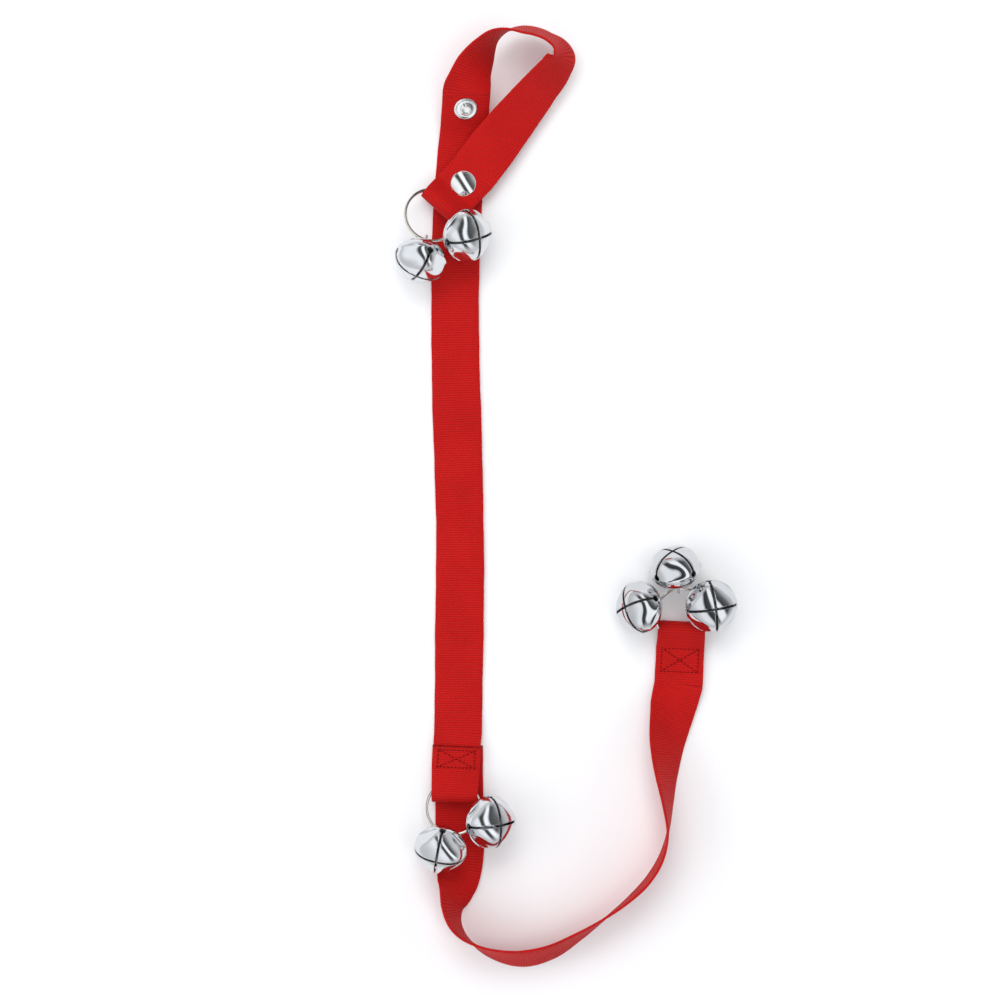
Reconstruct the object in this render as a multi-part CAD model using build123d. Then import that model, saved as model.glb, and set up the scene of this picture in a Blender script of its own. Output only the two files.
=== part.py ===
"""Door-hanging strap of jingle bells: red webbing, three split rings, seven bells and a snap loop.

The strap lies flat on the plane Z = 0. +Y runs along its length towards the handle loop.
All sizes are millimetres and degrees.
"""
from build123d import *
import math
import os

# Webbing
STRAP_WIDTH = 25.0
STRAP_THICKNESS = 1.3
FOLD_WIDTH = 23.2            # the ring draws the webbing in a little at each fold
HALF = STRAP_THICKNESS / 2

ROUTE_STEP = 4.0

# Split rings: two turns of flat wire
RING_RADIUS = 13.8
RING_WIRE_WIDTH = 1.4
RING_WIRE_HEIGHT = 0.9
RING_TURN_GAP = 0.05

# Teardrop pocket that a fold leaves around its ring
POCKET_RADIUS = 3.1
SNAP_POCKET = 13.3
SHORT_POCKET = 14.0
LONG_POCKET = 16.5
APEX_LIFT = 1.2              # ring centre line above the pocket floor, deep in the pocket

# Bells
BELL_RADIUS = 13.5
CROWN_HEIGHT = 9.5
PETAL_HEIGHT = 10.5
SHELL_WALL = 0.6
SLIT_WIDTH = 1.4
SLIT_HOLE_RADIUS = 1.7
SLIT_HOLE_DROP = 1.0         # slit ends lie this far below the widest line
CROWN_HOLE_RADIUS = 1.45
SHANK_WIRE_RADIUS = 0.65
SHANK_LOOP_RADIUS = 2.15
SHANK_LEG_OFFSET = 0.70
SHANK_FOOT_LENGTH = 3.2
SHANK_FOOT_LEVEL = 7.7
RING_TO_BELL = 11.7
PELLET_RADIUS = 3.2
PELLET_PLAY = 0.2

# Snap fastener
CAP_RADIUS = 6.5
CAP_RISE = 2.0
CAP_BACK = 19.8              # cap centre, back from the fold
STUD_FLANGE_RADIUS = 6.0
STUD_FLANGE = 0.5
STUD_HEAD_RADIUS = 3.1
STUD_HEAD_HEIGHT = 1.9
STUD_WELL_RADIUS = 2.1
SOCKET_RADIUS = 6.0
SOCKET_MOUTH = 3.6
POST_FLANGE_RADIUS = 5.2
POST_FLANGE = 0.5
POST_RADIUS = 1.5
SNAP_GAP = 0.3
TAIL_LEVEL = 4.0             # underside of the folded tail, resting on its snap

STITCH_RADIUS = 0.3

# Webbing routes: centre x, y, z and lean, which is 0 flat, 90 on edge and 180 turned over
UPPER_ROUTE = [
    (-56.1, -122.0, 1.3, 0), (-56.0, -115.0, 0.65, 0), (-55.5, -75.0, 0.65, 0),
    (-55.1, -20.0, 0.65, 0), (-56.0, 20.0, 0.65, 0),
    (-57.3, 65.0, 0.65, 0), (-57.6, 105.0, 0.65, 0), (-56.9, 140.0, 0.65, 0),
    (-55.6, 161.0, 0.65, 0), (-54.4, 178.0, 0.65, 0), (-53.5, 186.5, 1.4, 6),
    (-52.7, 193.2, 4.3, 11), (-52.5, 195.6, 6.0, 11), (-51.7, 205.4, 12.8, 11),
    (-51.5, 207.8, 14.5, 12), (-49.8, 214.2, 17.3, 31), (-46.5, 222.9, 18.9, 51),
    (-42.7, 229.2, 20.4, 66), (-38.4, 234.4, 21.2, 80), (-32.0, 238.0, 21.3, 95),
    (-23.5, 238.9, 21.0, 107), (-15.6, 237.8, 20.8, 109),
]
TAIL_ROUTE = [
    (-13.0, 236.9, 20.8, 109), (-8.5, 234.6, 20.9, 109), (-4.2, 231.2, 20.1, 113),
    (-2.2, 226.2, 18.9, 119), (-5.4, 220.3, 17.5, 126), (-15.0, 208.6, 14.6, 136),
    (-28.5, 192.4, 10.6, 154), (-38.5, 180.0, 7.6, 171),
]
LOWER_ROUTE = [
    (-55.8, -129.5, 0.65, 0), (-55.6, -148.0, 0.65, 0), (-55.2, -168.0, 0.8, -2),
    (-55.0, -181.0, 1.0, -3), (-55.4, -191.0, 3.0, -15), (-57.2, -202.0, 8.6, -42),
    (-58.6, -211.0, 11.8, -64), (-57.4, -219.0, 12.5, -78),
]
LEG_ROUTE = [
    (-54.9, -223.6, 12.6, -86), (-45.0, -231.8, 12.5, -102), (-34.0, -236.2, 12.1, -112),
    (-22.7, -237.7, 11.6, -118), (-9.5, -234.8, 11.8, -116), (5.4, -226.6, 12.2, -108),
    (20.0, -216.6, 12.5, -99), (31.5, -207.6, 12.6, -94), (41.5, -197.6, 12.6, -91),
    (48.6, -186.0, 12.6, -91), (52.2, -172.0, 12.6, -95), (52.1, -157.0, 12.2, -106),
    (51.4, -142.4, 11.0, -121), (52.0, -126.0, 8.4, -141), (55.2, -109.0, 3.9, -165),
]

# Folded ends: fold middle x, y, level of the underside, outward direction, fold-back, pocket
TOP_END = {"at": (-66.8, 147.5, TAIL_LEVEL), "out": (-0.68, -0.73), "back": 28.0,
           "pocket": SNAP_POCKET}
MIDDLE_END = {"at": (-58.0, -158.2, STRAP_THICKNESS), "out": (-0.045, -1.0), "back": 29.0,
              "pocket": LONG_POCKET}
END_END = {"at": (59.8, -64.2, 0.0), "out": (0.045, 1.0), "back": 33.0, "pocket": SHORT_POCKET}

# Rings: how far the centre lies past the fold, its shift across, and its slope
TOP_RING = {"end": TOP_END, "past": 3.5, "across": 0.4, "slope": 15.0}
MIDDLE_RING = {"end": MIDDLE_END, "past": 2.4, "across": 0.3, "slope": 12.0}
END_RING = {"end": END_END, "past": 3.6, "across": 0.0, "slope": 12.0}

# Bells: ring, place round it, swing about the wire and turn of the slits
BELLS = [
    {"ring": TOP_RING, "place": 185.0, "swing": -52.0, "turn": 33.0},
    {"ring": TOP_RING, "place": 118.0, "swing": -12.5, "turn": 12.0},
    {"ring": MIDDLE_RING, "place": 76.0, "swing": -42.0, "turn": 85.0},
    {"ring": MIDDLE_RING, "place": 159.0, "swing": -55.0, "turn": 58.0},
    {"ring": END_RING, "place": 102.0, "swing": -15.0, "turn": 50.0},
    {"ring": END_RING, "place": 169.0, "swing": -39.0, "turn": 50.0},
    {"ring": END_RING, "place": 30.0, "swing": -80.0, "turn": 20.0},
]


def unit(vector):
    """Return the vector at length one."""
    return vector / vector.length


def slopes(points):
    """Rate of change of place and lean at each route point, per millimetre of run."""
    spans = [math.dist(a[:3], b[:3]) for a, b in zip(points, points[1:])]
    steps = [[(q - p) / span for p, q in zip(a, b)]
             for a, b, span in zip(points, points[1:], spans)]
    inner = [[(p * after + q * before) / (before + after) for p, q in zip(a, b)]
             for a, b, before, after in zip(steps, steps[1:], spans, spans[1:])]
    return spans, [steps[0], *inner, steps[-1]]


def smooth_route(points):
    """Fill a route with evenly spaced points on a smooth curve through its own points."""
    spans, rates = slopes(points)
    filled = []
    for index, span in enumerate(spans):
        count = max(1, round(span / ROUTE_STEP))
        for step in range(count):
            u = step / count
            blend = [2 * u ** 3 - 3 * u ** 2 + 1, 3 * u ** 2 - 2 * u ** 3,
                     (u ** 3 - 2 * u ** 2 + u) * span, (u ** 3 - u ** 2) * span]
            corners = zip(points[index], points[index + 1], rates[index], rates[index + 1])
            filled.append([sum(b * c for b, c in zip(blend, corner)) for corner in corners])
    return [*filled, list(points[-1])]


def ribbon_planes(route):
    """Return planes across the webbing all along its route."""
    stations = smooth_route(route)
    points = [Vector(*station[:3]) for station in stations]
    planes = []
    for index, station in enumerate(stations):
        before = points[max(index - 1, 0)]
        after = points[min(index + 1, len(points) - 1)]
        ahead = unit(after - before)
        left = unit(Vector(-ahead.Y, ahead.X, 0))
        angle = math.radians(station[3])
        across = left * math.cos(angle) + Vector(0, 0, 1) * math.sin(angle)
        across = unit(across - ahead * across.dot(ahead))
        planes.append(Plane(origin=points[index], x_dir=across, z_dir=ahead))
    return planes


def ribbon(planes):
    """Loft the webbing's section through its planes."""
    sections = [plane * Rectangle(STRAP_WIDTH, STRAP_THICKNESS) for plane in planes]
    return loft(sections, ruled=True)


def end_plane(end):
    """Plane at a folded end: x across the strap, y outwards, z up."""
    out = unit(Vector(end["out"][0], end["out"][1], 0))
    return Plane(origin=Vector(*end["at"]), x_dir=(out.Y, -out.X, 0), z_dir=(0, 0, 1))


def layer_plane(end, upper):
    """Section plane where the strap's run meets its folded end, in the upper or lower layer."""
    plane = end_plane(end)
    level = STRAP_THICKNESS * 1.5 if upper else HALF
    origin = plane.from_local_coords(Vector(0, -end["back"], level))
    return Plane(origin=origin, x_dir=plane.x_dir, z_dir=plane.y_dir)


def folded_end(end):
    """Two layers of webbing, folded at the end round a teardrop pocket."""
    t, r = STRAP_THICKNESS, POCKET_RADIUS
    centre_y, centre_z = -(r + t), r + t
    slope = 2 * math.atan2(r, end["pocket"] - r - t)
    normal = (-math.sin(slope), math.cos(slope))
    along = (math.cos(slope), math.sin(slope))

    def rim(radius):
        """Points of the fold's arc at this radius: bottom, outermost and end of the slope."""
        top = (centre_y + radius * normal[0], centre_z + radius * normal[1])
        return (centre_y, centre_z - radius), (centre_y + radius, centre_z), top

    inner_bottom, inner_tip, inner_top = rim(r)
    outer_bottom, outer_tip, outer_top = rim(r + t)
    climb = (outer_top[1] - 2 * t) / along[1]
    shoulder = (outer_top[0] - climb * along[0], 2 * t)
    corner = (-end["back"], 0)
    root = (-end["pocket"], t)
    with BuildSketch(Plane.YZ) as profile:
        with BuildLine():
            Polyline(outer_bottom, corner, (corner[0], 2 * t), shoulder, outer_top)
            ThreePointArc(outer_top, outer_tip, outer_bottom)
        make_face()
        with BuildLine():
            Polyline(inner_bottom, root, inner_top)
            ThreePointArc(inner_top, inner_tip, inner_bottom)
        make_face(mode=Mode.SUBTRACT)
    block = extrude(profile.sketch, STRAP_WIDTH / 2, both=True)
    wide, narrow = STRAP_WIDTH / 2, FOLD_WIDTH / 2
    plan = Polygon((wide, -end["back"]), (wide, -end["pocket"]), (narrow, 0), (-narrow, 0),
                   (-wide, -end["pocket"]), (-wide, -end["back"]), align=None)
    return end_plane(end) * (block & extrude(plan, 4 * r))


def ring_plane(ring):
    """Plane of a split ring: x across its strap, y up the slope away from the fold."""
    base = end_plane(ring["end"])
    slope = math.radians(ring["slope"])
    level = STRAP_THICKNESS + APEX_LIFT + RING_RADIUS * math.sin(slope)
    origin = base.from_local_coords(Vector(ring["across"], ring["past"], level))
    outward = base.y_dir * math.cos(slope) + Vector(0, 0, 1) * math.sin(slope)
    return Plane(origin=origin, x_dir=base.x_dir, z_dir=base.x_dir.cross(outward))


def split_ring(ring):
    """Two turns of flat wire that lie on each other, joined by a short ramp inside the fold."""
    pitch = RING_WIRE_HEIGHT + RING_TURN_GAP
    turn = Rectangle(RING_WIRE_WIDTH, RING_WIRE_HEIGHT)
    section = Plane.XZ * Pos(RING_RADIUS, 0) * turn
    lower = revolve(Pos(0, 0, -pitch / 2) * section, Axis.Z, 360)
    upper = revolve(Pos(0, 0, pitch / 2) * section, Axis.Z, 360)
    ramp = Pos(0, -RING_RADIUS, 0) * Box(2 * RING_WIRE_WIDTH, RING_WIRE_WIDTH / 2, pitch)
    return ring_plane(ring) * (lower + upper + ramp)


def bell_plane(bell):
    """Plane of a bell: origin at its middle, z towards the ring, x along the shank's feet."""
    ring = ring_plane(bell["ring"])
    place, swing = math.radians(bell["place"]), math.radians(bell["swing"])
    outward = ring.x_dir * math.cos(place) + ring.y_dir * math.sin(place)
    hang = outward * math.cos(swing) - ring.z_dir * math.sin(swing)
    wire = unit(ring.z_dir.cross(outward))
    middle = ring.origin + outward * RING_RADIUS + hang * RING_TO_BELL
    return Plane(origin=middle, x_dir=hang.cross(wire), z_dir=-hang)


def half_profile(radius, crown, petals):
    """Half outline of a bell: quarter ellipses above and below the widest line."""
    upper = EllipticalCenterArc((0, 0), radius, crown, start_angle=0, arc_size=90)
    lower = EllipticalCenterArc((0, 0), radius, petals, start_angle=-90, arc_size=90)
    axis = Line((0, crown), (0, -petals))
    return make_face([*lower.edges(), *upper.edges(), *axis.edges()])


def bell_shell(bell):
    """Thin pressed shell with four petals parted by crossed slits that end in round holes."""
    outer = half_profile(BELL_RADIUS, CROWN_HEIGHT, PETAL_HEIGHT)
    inner = half_profile(BELL_RADIUS - SHELL_WALL, CROWN_HEIGHT - SHELL_WALL,
                         PETAL_HEIGHT - SHELL_WALL)
    shell = revolve(Plane.XZ * outer, Axis.Z, 360) - revolve(Plane.XZ * inner, Axis.Z, 360)
    shell -= Pos(0, 0, CROWN_HEIGHT) * Cylinder(CROWN_HOLE_RADIUS, 4)
    depth = PETAL_HEIGHT + 2
    for angle in (0, 90):
        slit = Pos(0, 0, -SLIT_HOLE_DROP - depth / 2) * Box(4 * BELL_RADIUS, SLIT_WIDTH, depth)
        hole = Pos(0, 0, -SLIT_HOLE_DROP) * Rot(0, 90, 0) * Cylinder(SLIT_HOLE_RADIUS,
                                                                     4 * BELL_RADIUS)
        shell -= Rot(0, 0, angle + bell["turn"]) * (slit + hole)
    return bell_plane(bell) * shell


def bell_shank(bell):
    """Wire loop round the ring, with two legs through the crown that are bent apart inside."""
    loop = Pos(0, 0, RING_TO_BELL) * Rot(90, 0, 0) * Torus(SHANK_LOOP_RADIUS, SHANK_WIRE_RADIUS)
    leg_top = RING_TO_BELL - SHANK_LOOP_RADIUS
    leg_height = leg_top - SHANK_FOOT_LEVEL
    shank = loop
    for side in (-1, 1):
        x = side * SHANK_LEG_OFFSET
        shank += Pos(x, 0, SHANK_FOOT_LEVEL + leg_height / 2) * Cylinder(SHANK_WIRE_RADIUS,
                                                                         leg_height)
        foot = Rot(0, 90, 0) * Cylinder(SHANK_WIRE_RADIUS, SHANK_FOOT_LENGTH)
        shank += Pos(side * SHANK_FOOT_LENGTH / 2, 0, SHANK_FOOT_LEVEL) * foot
    return bell_plane(bell) * shank


def pellet_rest(bell):
    """Lowest place of the pellet's middle inside its tilted shell."""
    plane = bell_plane(bell)
    hang = -plane.z_dir
    reach = BELL_RADIUS - SHELL_WALL - PELLET_RADIUS - PELLET_PLAY
    if hang.Z > 0:
        depth = SHANK_FOOT_LEVEL - SHANK_WIRE_RADIUS - PELLET_RADIUS - PELLET_PLAY
    else:
        depth = PETAL_HEIGHT - SHELL_WALL - PELLET_RADIUS - PELLET_PLAY
    up = Vector(0, 0, 1)
    pull = up * reach ** 2 + hang * ((depth ** 2 - reach ** 2) * hang.Z)
    return plane.origin - pull / math.sqrt(pull.Z)


def bell_pellet(bell):
    """Loose steel ball that strikes the shell."""
    return Pos(*pellet_rest(bell)) * Sphere(PELLET_RADIUS)


def turned(points):
    """Turn an outline of (radius, height) points into a solid round its own Z axis."""
    return revolve(Plane.XZ * Polygon(*points, align=None), Axis.Z, 360)


def stud(plane):
    """Snap stud: a flange with a rim and a hollow head, on the webbing's upper face."""
    base, head = STUD_FLANGE, STUD_FLANGE + STUD_HEAD_HEIGHT
    neck = STUD_HEAD_RADIUS - 0.3
    outline = [(POST_RADIUS, 0), (STUD_FLANGE_RADIUS, 0), (STUD_FLANGE_RADIUS, base),
               (neck, base), (neck, base + 0.7), (STUD_HEAD_RADIUS, base + 1.2),
               (STUD_HEAD_RADIUS, head - 0.5), (STUD_HEAD_RADIUS - 0.5, head),
               (STUD_WELL_RADIUS, head), (STUD_WELL_RADIUS, base + 0.6),
               (POST_RADIUS, base + 0.6)]
    return plane * Pos(0, 0, HALF) * turned(outline)


def post(plane):
    """Rivet post: a flange let into the webbing's underside and a shank up into the stud."""
    top = HALF + STUD_FLANGE + 0.5
    outline = [(0, -HALF), (POST_FLANGE_RADIUS, -HALF), (POST_FLANGE_RADIUS, POST_FLANGE - HALF),
               (POST_RADIUS, POST_FLANGE - HALF), (POST_RADIUS, top), (0, top)]
    return plane * turned(outline)


def post_seat(plane):
    """Room in the webbing for a rivet post."""
    flange = Pos(0, 0, -HALF) * Cylinder(POST_FLANGE_RADIUS, 2 * POST_FLANGE)
    return plane * (flange + Cylinder(POST_RADIUS, 4 * STRAP_THICKNESS))


def snap_plane():
    """Plane of the closed snap: origin on the underside of the folded tail."""
    plane = end_plane(TOP_END)
    return Plane(origin=plane.from_local_coords(Vector(0, -CAP_BACK, 0)), x_dir=plane.x_dir,
                 z_dir=(0, 0, 1))


def snap_cap():
    """Domed cap with a post through both layers of the tail."""
    foot = 2 * STRAP_THICKNESS
    dome_radius = (CAP_RADIUS ** 2 + CAP_RISE ** 2) / (2 * CAP_RISE)
    dome = Pos(0, 0, foot + CAP_RISE - dome_radius) * Sphere(dome_radius)
    dome &= Pos(0, 0, foot + CAP_RISE) * Cylinder(CAP_RADIUS, 2 * CAP_RISE)
    return snap_plane() * (dome + Pos(0, 0, foot / 2) * Cylinder(POST_RADIUS, foot))


def snap_socket():
    """Socket ring under the tail that closes round the stud's head."""
    floor = STUD_FLANGE + STRAP_THICKNESS + SNAP_GAP - TAIL_LEVEL
    outline = [(SOCKET_MOUTH, floor), (SOCKET_RADIUS - 0.6, floor), (SOCKET_RADIUS, floor + 0.6),
               (SOCKET_RADIUS, 0), (SOCKET_MOUTH + 0.7, 0), (SOCKET_MOUTH + 0.7, floor + 0.8),
               (SOCKET_MOUTH, floor + 0.8)]
    return snap_plane() * turned(outline)


def snap_spring():
    """Split wire ring that grips the stud inside the socket."""
    radius = SOCKET_MOUTH + 0.35
    ring = Pos(0, 0, -0.6) * Torus(radius, 0.25)
    return snap_plane() * (ring - Pos(radius, 0, -0.6) * Box(2, 1.2, 2))


def stitches(plane, rows, columns, step_x, step_y, low, high, drop):
    """Lock stitches as short threads through all layers, with a crossing inside the box."""
    threads = []
    for row in range(rows):
        for column in range(columns):
            x = (column - (columns - 1) / 2) * step_x
            y = -drop - row * step_y
            on_edge = row in (0, rows - 1) or column in (0, columns - 1)
            on_cross = abs(column / (columns - 1) - row / (rows - 1)) < 0.06
            if on_edge or on_cross or abs(column / (columns - 1) + row / (rows - 1) - 1) < 0.06:
                height = high - low
                threads.append(Pos(x, y, low + height / 2) * Cylinder(STITCH_RADIUS, height))
    return plane * Compound(children=threads)


def nearest(planes, place):
    """Index of the plane nearest to a place."""
    return min(range(len(planes)), key=lambda index: (planes[index].origin - Vector(*place)).length)


def strap_plane(route_planes, index):
    """Plane on the webbing at a route point: z out of its upper face."""
    across = route_planes[index]
    return Plane(origin=across.origin, x_dir=across.x_dir, z_dir=across.y_dir)


def write(name, shape):
    """Write one sub-part."""
    shape.label = name
    export_step(shape, f"parts/{name}.step")


SPARE_STUD_AT = (-52.1, 200.5, 9.4)
RINGS = {"top": TOP_RING, "middle": MIDDLE_RING, "end": END_RING}
STITCH_SETS = {"middle": (MIDDLE_END, 3 * STRAP_THICKNESS, -STRAP_THICKNESS, 16.0),
               "end": (END_END, 2 * STRAP_THICKNESS, 0.0, 14.5)}


def main():
    """Write every sub-part of the bell strap."""
    os.makedirs("parts", exist_ok=True)
    middle = layer_plane(MIDDLE_END, False)
    start = Plane(origin=middle.origin, x_dir=-middle.x_dir, z_dir=-middle.z_dir)
    upper = [start] + ribbon_planes(UPPER_ROUTE)
    spare = strap_plane(upper, nearest(upper, SPARE_STUD_AT))
    closed = snap_plane()
    closed = Plane(origin=(closed.origin.X, closed.origin.Y, HALF), x_dir=closed.x_dir,
                   z_dir=(0, 0, 1))
    upper_strap = ribbon(upper) + folded_end(MIDDLE_END) - post_seat(spare) - post_seat(closed)

    tail = ribbon(ribbon_planes(TAIL_ROUTE) + [layer_plane(TOP_END, True)])
    tail = tail + folded_end(TOP_END) - snap_plane() * Cylinder(POST_RADIUS, 20)
    leg = ribbon(ribbon_planes(LEG_ROUTE) + [layer_plane(END_END, True)])
    leg = leg + folded_end(END_END)
    lower_strap = ribbon(ribbon_planes(LOWER_ROUTE))
    for name, (end, high, low, drop) in STITCH_SETS.items():
        threads = stitches(end_plane(end), 7, 11, 1.9, 2.0, low, high, drop)
        write(f"{name}_stitching", threads)
        upper_strap, lower_strap, leg = (strap - threads.solids()
                                         for strap in (upper_strap, lower_strap, leg))

    write("upper_strap", upper_strap)
    write("loop_tail_strap", tail)
    write("lower_strap", lower_strap)
    write("lower_strap_leg", leg)
    write("snap_stud", stud(closed))
    write("snap_stud_post", post(closed))
    write("spare_stud", stud(spare))
    write("spare_stud_post", post(spare))
    write("snap_cap", snap_cap())
    write("snap_socket", snap_socket())
    write("snap_socket_spring", snap_spring())
    for name, ring in RINGS.items():
        write(f"{name}_ring", split_ring(ring))
    for number, bell in enumerate(BELLS, start=1):
        write(f"bell_{number}_shell", bell_shell(bell))
        write(f"bell_{number}_shank", bell_shank(bell))
        write(f"bell_{number}_pellet", bell_pellet(bell))


main()
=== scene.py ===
"""Door-hanging strap of jingle bells, built as a Blender add-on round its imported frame.

Sizes are metres. Routes and other places along the strap are lists in millimetres, as the frame
was drawn, and MM turns them into metres. The strap lies on Z = 0 and +Y runs to its handle loop.
"""

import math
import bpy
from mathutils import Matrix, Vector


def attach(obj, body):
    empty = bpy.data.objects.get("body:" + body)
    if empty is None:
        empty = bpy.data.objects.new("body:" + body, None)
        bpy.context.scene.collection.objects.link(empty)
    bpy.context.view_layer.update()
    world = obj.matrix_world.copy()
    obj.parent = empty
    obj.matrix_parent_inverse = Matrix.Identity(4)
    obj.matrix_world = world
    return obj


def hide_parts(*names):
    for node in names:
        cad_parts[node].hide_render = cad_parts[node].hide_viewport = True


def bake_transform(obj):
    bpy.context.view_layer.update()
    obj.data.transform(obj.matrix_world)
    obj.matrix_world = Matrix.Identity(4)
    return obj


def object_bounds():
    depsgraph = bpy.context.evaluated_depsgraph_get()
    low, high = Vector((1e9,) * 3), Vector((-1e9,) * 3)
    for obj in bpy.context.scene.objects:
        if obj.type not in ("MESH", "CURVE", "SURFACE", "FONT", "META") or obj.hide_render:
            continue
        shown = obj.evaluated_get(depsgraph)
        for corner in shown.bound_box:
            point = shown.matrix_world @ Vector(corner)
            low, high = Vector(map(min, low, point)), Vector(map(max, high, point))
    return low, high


bl_info = {
    "name": "Jingle Bell Strap",
    "version": (1, 0, 0),
    "blender": (4, 5, 0),
    "location": "View3D > Sidebar > Bell Strap",
    "description": "Red webbing strap with split rings, petal bells and a snap loop",
    "category": "Object",
}

import bmesh
import bpy
import numpy as np
from bpy.props import FloatProperty, FloatVectorProperty, IntProperty, PointerProperty
from mathutils import Matrix, Vector

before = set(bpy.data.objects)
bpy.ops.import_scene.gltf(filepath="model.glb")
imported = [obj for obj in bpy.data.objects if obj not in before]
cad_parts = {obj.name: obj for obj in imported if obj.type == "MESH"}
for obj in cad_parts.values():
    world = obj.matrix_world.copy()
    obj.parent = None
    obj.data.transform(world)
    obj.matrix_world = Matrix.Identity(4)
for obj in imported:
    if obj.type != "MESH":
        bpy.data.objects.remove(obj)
CAD_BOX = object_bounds()

MM = 0.001

# Webbing routes in millimetres: centre x, y, z and lean, which is 0 flat and 90 on edge
UPPER_ROUTE = [
    (-56.1, -122.0, 1.3, 0), (-56.0, -115.0, 0.65, 0), (-55.5, -75.0, 0.65, 0),
    (-55.1, -20.0, 0.65, 0), (-56.0, 20.0, 0.65, 0),
    (-57.3, 65.0, 0.65, 0), (-57.6, 105.0, 0.65, 0), (-56.9, 140.0, 0.65, 0),
    (-55.6, 161.0, 0.65, 0), (-54.4, 178.0, 0.65, 0), (-53.5, 186.5, 1.4, 6),
    (-52.7, 193.2, 4.3, 11), (-52.5, 195.6, 6.0, 11), (-51.7, 205.4, 12.8, 11),
    (-51.5, 207.8, 14.5, 12), (-49.8, 214.2, 17.3, 31), (-46.5, 222.9, 18.9, 51),
    (-42.7, 229.2, 20.4, 66), (-38.4, 234.4, 21.2, 80), (-32.0, 238.0, 21.3, 95),
    (-23.5, 238.9, 21.0, 107), (-15.6, 237.8, 20.8, 109), (-8.5, 234.6, 20.9, 109),
    (-4.2, 231.2, 20.1, 113), (-2.2, 226.2, 18.9, 119), (-5.4, 220.3, 17.5, 126),
    (-15.0, 208.6, 14.6, 136), (-28.5, 192.4, 10.6, 154), (-38.5, 180.0, 7.6, 171),
]
TAIL_START = (-4.2, 231.2, 20.1)
LOWER_ROUTE = [
    (-55.8, -129.5, 0.65, 0), (-55.6, -148.0, 0.65, 0), (-55.2, -168.0, 0.8, -2),
    (-55.0, -181.0, 1.0, -3), (-55.4, -191.0, 3.0, -15), (-57.2, -202.0, 8.6, -42),
    (-58.6, -211.0, 11.8, -64), (-57.4, -219.0, 12.5, -78), (-54.9, -223.6, 12.6, -86),
    (-45.0, -231.8, 12.5, -102), (-34.0, -236.2, 12.1, -112),
    (-22.7, -237.7, 11.6, -118), (-9.5, -234.8, 11.8, -116), (5.4, -226.6, 12.2, -108),
    (20.0, -216.6, 12.5, -99), (31.5, -207.6, 12.6, -94), (41.5, -197.6, 12.6, -91),
    (48.6, -186.0, 12.6, -91), (52.2, -172.0, 12.6, -95), (52.1, -157.0, 12.2, -106),
    (51.4, -142.4, 11.0, -121), (52.0, -126.0, 8.4, -141), (55.2, -109.0, 3.9, -165),
]
LEG_START = (-34.0, -236.2, 12.1)
ROUTE_SAMPLE = 0.4 * MM
ROUTE_SMOOTHING = 6              # passes that ease the bends of a folded end

# Folded ends in millimetres: middle of the fold, outward direction, fold-back and pocket length
TOP_END = {"at": (-66.8, 147.5, 4.0), "out": (-0.68, -0.73), "back": 28.0, "pocket": 13.3}
MIDDLE_END = {"at": (-58.0, -158.2, 1.3), "out": (-0.045, -1.0), "back": 29.0, "pocket": 16.5}
END_END = {"at": (59.8, -64.2, 0.0), "out": (0.045, 1.0), "back": 33.0, "pocket": 14.0}
POCKET_RADIUS = 3.1 * MM
FOLD_DRAW = 1.8 * MM             # how much a ring narrows the webbing at its fold

# Rings: millimetres past the fold, shift across, and slope in degrees
TOP_RING = {"end": TOP_END, "past": 3.5, "across": 0.4, "slope": 15.0}
MIDDLE_RING = {"end": MIDDLE_END, "past": 2.4, "across": 0.3, "slope": 12.0}
END_RING = {"end": END_END, "past": 3.6, "across": 0.0, "slope": 12.0}
RINGS = {"top": TOP_RING, "middle": MIDDLE_RING, "end": END_RING}
APEX_LIFT = 1.2 * MM

# Bells: ring, place round it, swing about its wire and turn of the slits, in degrees
BELLS = [
    {"ring": TOP_RING, "place": 185.0, "swing": -52.0, "turn": 33.0},
    {"ring": TOP_RING, "place": 118.0, "swing": -12.5, "turn": 12.0},
    {"ring": MIDDLE_RING, "place": 76.0, "swing": -42.0, "turn": 85.0},
    {"ring": MIDDLE_RING, "place": 159.0, "swing": -55.0, "turn": 58.0},
    {"ring": END_RING, "place": 102.0, "swing": -15.0, "turn": 50.0},
    {"ring": END_RING, "place": 169.0, "swing": -39.0, "turn": 50.0},
    {"ring": END_RING, "place": 30.0, "swing": -80.0, "turn": 20.0},
]
RING_TO_BELL = 11.7 * MM
SLIT_HOLE_DROP = 1.0 * MM

SPARE_STUD_AT = (-52.1, 200.5, 9.4)
CAP_BACK = 19.8
TAIL_LEVEL = 4.0 * MM

# Box stitching in millimetres: its fold, top and bottom faces, distance back and length
STITCH_BOXES = {
    "middle": {"end": MIDDLE_END, "faces": (2.6, -1.3), "drop": 18.0, "length": 9.0,
               "body": "main_strap"},
    "end": {"end": END_END, "faces": (2.6, 0.0), "drop": 14.5, "length": 12.0,
            "body": "strap_leg"},
}

# Ceiling of the room, from one side to the other: place and brightness
CEILING_STOPS = [(0.0, 0.7), (0.22, 1.3), (0.36, 1.3), (0.42, 0.05), (0.53, 0.10), (0.57, 1.5),
                 (0.67, 1.5), (0.72, 0.06), (0.86, 0.2), (1.0, 0.8)]

# Webbing's woven edges and its sealed ends
WANDER_WAVES = [(61, 1.0, 0), (163, 0.6, 1), (377, 0.4, 0)]     # waves per metre, share, phase
RIB_BLUNTNESS = 0.7
BEAD_RISE = 0.14                 # how much thicker the melted bead is
BEAD_TAPER = 0.45                # how much thinner the very end is
BEAD_SPREAD = 0.1 * MM
CUT_RAGGEDNESS = 0.22 * MM
LIP_STEPS = 9                    # points across each face of the webbing

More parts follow.
